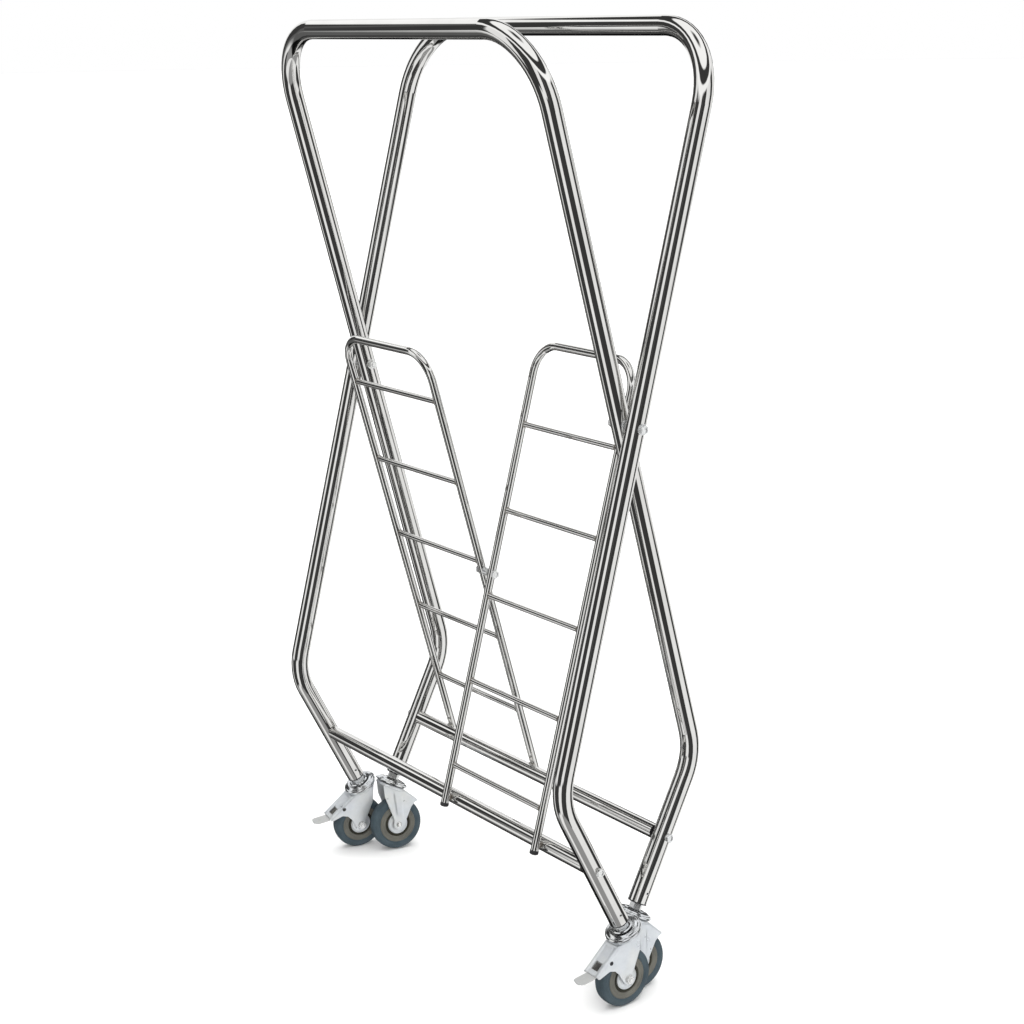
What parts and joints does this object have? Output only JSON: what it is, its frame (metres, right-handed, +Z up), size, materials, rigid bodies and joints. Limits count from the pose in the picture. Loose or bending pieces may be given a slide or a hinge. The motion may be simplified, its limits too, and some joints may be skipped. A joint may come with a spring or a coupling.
{
  "type": "folding luggage cart",
  "caption": "Folding X-frame luggage cart of bent steel tube, standing folded, with crossed hoops, ladder racks that swing down into a bed, and swivel casters with foot brakes.",
  "frame": {"origin": "on the floor under the middle of the cart, midway between the hoops' feet", "axes": "+X along the crossbars, towards the front rack; +Y the way the hoops open, from the braked casters to the plain ones; +Z up"},
  "size_m": [0.8663, 0.3504, 1.565],
  "materials": {
    "steel_tube": "polished stainless tube",
    "bolt_zinc": "zinc plated",
    "caster_steel": "bright zinc plated pressing",
    "bearing_steel": "polished",
    "pedal_grey": "satin light grey",
    "brake_rubber": "matte black",
    "plug_rubber": "matte black",
    "insert_black": "matte black",
    "tyre_grey": "matte blue grey",
    "wheel_core": "matte olive grey"
  },
  "bodies": {
    "hoop_pivots": {"pivot_bolts": "bolt_zinc", "pivot_nuts": "bolt_zinc", "pivot_washers": "bolt_zinc"},
    "outer_hoop": {"front_inserts": "insert_black", "front_stems": "bolt_zinc", "front_swivel_heads": "caster_steel", "outer_hoop": "steel_tube"},
    "inner_hoop": {"inner_hoop": "steel_tube", "rear_inserts": "insert_black", "rear_stems": "bolt_zinc", "rear_swivel_heads": "caster_steel"},
    "front_rack": {"front_rack_crossbar": "steel_tube", "front_rack_crossbar_bolts": "bolt_zinc", "front_rack_crossbar_ends": "insert_black", "front_rack_plugs": "plug_rubber", "front_rack_rails": "steel_tube", "front_rack_rungs": "steel_tube", "rack_bolt_nut": "bolt_zinc"},
    "rear_rack": {"rack_bolt": "bolt_zinc", "rack_spacer": "bolt_zinc", "rear_rack_crossbar": "steel_tube", "rear_rack_crossbar_bolts": "bolt_zinc", "rear_rack_crossbar_ends": "insert_black", "rear_rack_plugs": "plug_rubber", "rear_rack_rails": "steel_tube", "rear_rack_rungs": "steel_tube"},
    "front_left_swivel": {"front_left_axle": "bolt_zinc", "front_left_balls": "bearing_steel", "front_left_brake_pin": "bolt_zinc", "front_left_fork": "caster_steel"},
    "front_left_wheel": {"front_left_discs": "caster_steel", "front_left_tyre": "tyre_grey", "front_left_wheel": "wheel_core"},
    "front_left_pedal": {"front_left_pedal": "pedal_grey", "front_left_shoe": "brake_rubber"},
    "front_right_swivel": {"front_right_axle": "bolt_zinc", "front_right_balls": "bearing_steel", "front_right_brake_pin": "bolt_zinc", "front_right_fork": "caster_steel"},
    "front_right_wheel": {"front_right_discs": "caster_steel", "front_right_tyre": "tyre_grey", "front_right_wheel": "wheel_core"},
    "front_right_pedal": {"front_right_pedal": "pedal_grey", "front_right_shoe": "brake_rubber"},
    "rear_left_swivel": {"rear_left_axle": "bolt_zinc", "rear_left_balls": "bearing_steel", "rear_left_fork": "caster_steel"},
    "rear_left_wheel": {"rear_left_discs": "caster_steel", "rear_left_tyre": "tyre_grey", "rear_left_wheel": "wheel_core"},
    "rear_right_swivel": {"rear_right_axle": "bolt_zinc", "rear_right_balls": "bearing_steel", "rear_right_fork": "caster_steel"},
    "rear_right_wheel": {"rear_right_discs": "caster_steel", "rear_right_tyre": "tyre_grey", "rear_right_wheel": "wheel_core"}
  },
  "joints": [
    {"name": "fold", "type": "hinge", "parent": "hoop_pivots", "child": "inner_hoop", "pos_m": [0, 0, 0.95495], "axis": [1, 0, 0], "range_deg": [0, 27]},
    {"name": "outer_hoop_fold", "type": "hinge", "parent": "hoop_pivots", "child": "outer_hoop", "pos_m": [0, 0, 0.95495], "axis": [1, 0, 0], "range_deg": [-27, 0]},
    {"name": "rear_rack_fold", "type": "hinge", "parent": "inner_hoop", "child": "rear_rack", "pos_m": [0, 0.08694, 0.25304], "axis": [1, 0, 0], "range_deg": [0, 47.5]},
    {"name": "front_rack_fold", "type": "hinge", "parent": "outer_hoop", "child": "front_rack", "pos_m": [0, -0.08694, 0.25304], "axis": [1, 0, 0], "range_deg": [-47.5, 0]},
    {"name": "front_left_swivel_turn", "type": "hinge", "parent": "outer_hoop", "child": "front_left_swivel", "pos_m": [-0.4, -0.03427, 0.14968], "axis": [0, -0.454, 0.891], "range_deg": [-120, 0]},
    {"name": "front_left_wheel_spin", "type": "hinge", "parent": "front_left_swivel", "child": "front_left_wheel", "pos_m": [-0.40744, -0.02662, 0.05033], "axis": [0.9816, -0.17, -0.0866], "continuous": true},
    {"name": "front_left_brake", "type": "hinge", "parent": "front_left_swivel", "child": "front_left_pedal", "pos_m": [-0.4103, -0.06326, 0.08979], "axis": [0.9816, -0.17, -0.0866], "range_deg": [0, 11]},
    {"name": "front_right_swivel_turn", "type": "hinge", "parent": "outer_hoop", "child": "front_right_swivel", "pos_m": [0.4, -0.03427, 0.14968], "axis": [0, -0.454, 0.891], "range_deg": [0, 120]},
    {"name": "front_right_wheel_spin", "type": "hinge", "parent": "front_right_swivel", "child": "front_right_wheel", "pos_m": [0.4, -0.02726, 0.05], "axis": [1, 0, 0], "continuous": true},
    {"name": "front_right_brake", "type": "hinge", "parent": "front_right_swivel", "child": "front_right_pedal", "pos_m": [0.4, -0.06414, 0.08934], "axis": [1, 0, 0], "range_deg": [0, 11]},
    {"name": "rear_left_swivel_turn", "type": "hinge", "parent": "inner_hoop", "child": "rear_left_swivel", "pos_m": [-0.365, 0.03427, 0.14968], "axis": [0, 0.454, 0.891], "range_deg": [-120, 0]},
    {"name": "rear_left_wheel_spin", "type": "hinge", "parent": "rear_left_swivel", "child": "rear_left_wheel", "pos_m": [-0.35689, 0.0265, 0.05039], "axis": [-0.9781, 0.1853, -0.0944], "continuous": true},
    {"name": "rear_right_swivel_turn", "type": "hinge", "parent": "inner_hoop", "child": "rear_right_swivel", "pos_m": [0.365, 0.03427, 0.14968], "axis": [0, 0.454, 0.891], "range_deg": [0, 120]},
    {"name": "rear_right_wheel_spin", "type": "hinge", "parent": "rear_right_swivel", "child": "rear_right_wheel", "pos_m": [0.36908, 0.02707, 0.0501], "axis": [-0.9945, 0.0931, -0.0475], "continuous": true}
  ],
  "couplings": [
    {"joint": "outer_hoop_fold", "follows": "fold", "ratio": -1},
    {"joint": "rear_rack_fold", "follows": "fold", "ratio": 1.7575},
    {"joint": "front_rack_fold", "follows": "fold", "ratio": -1.7575}
  ]
}
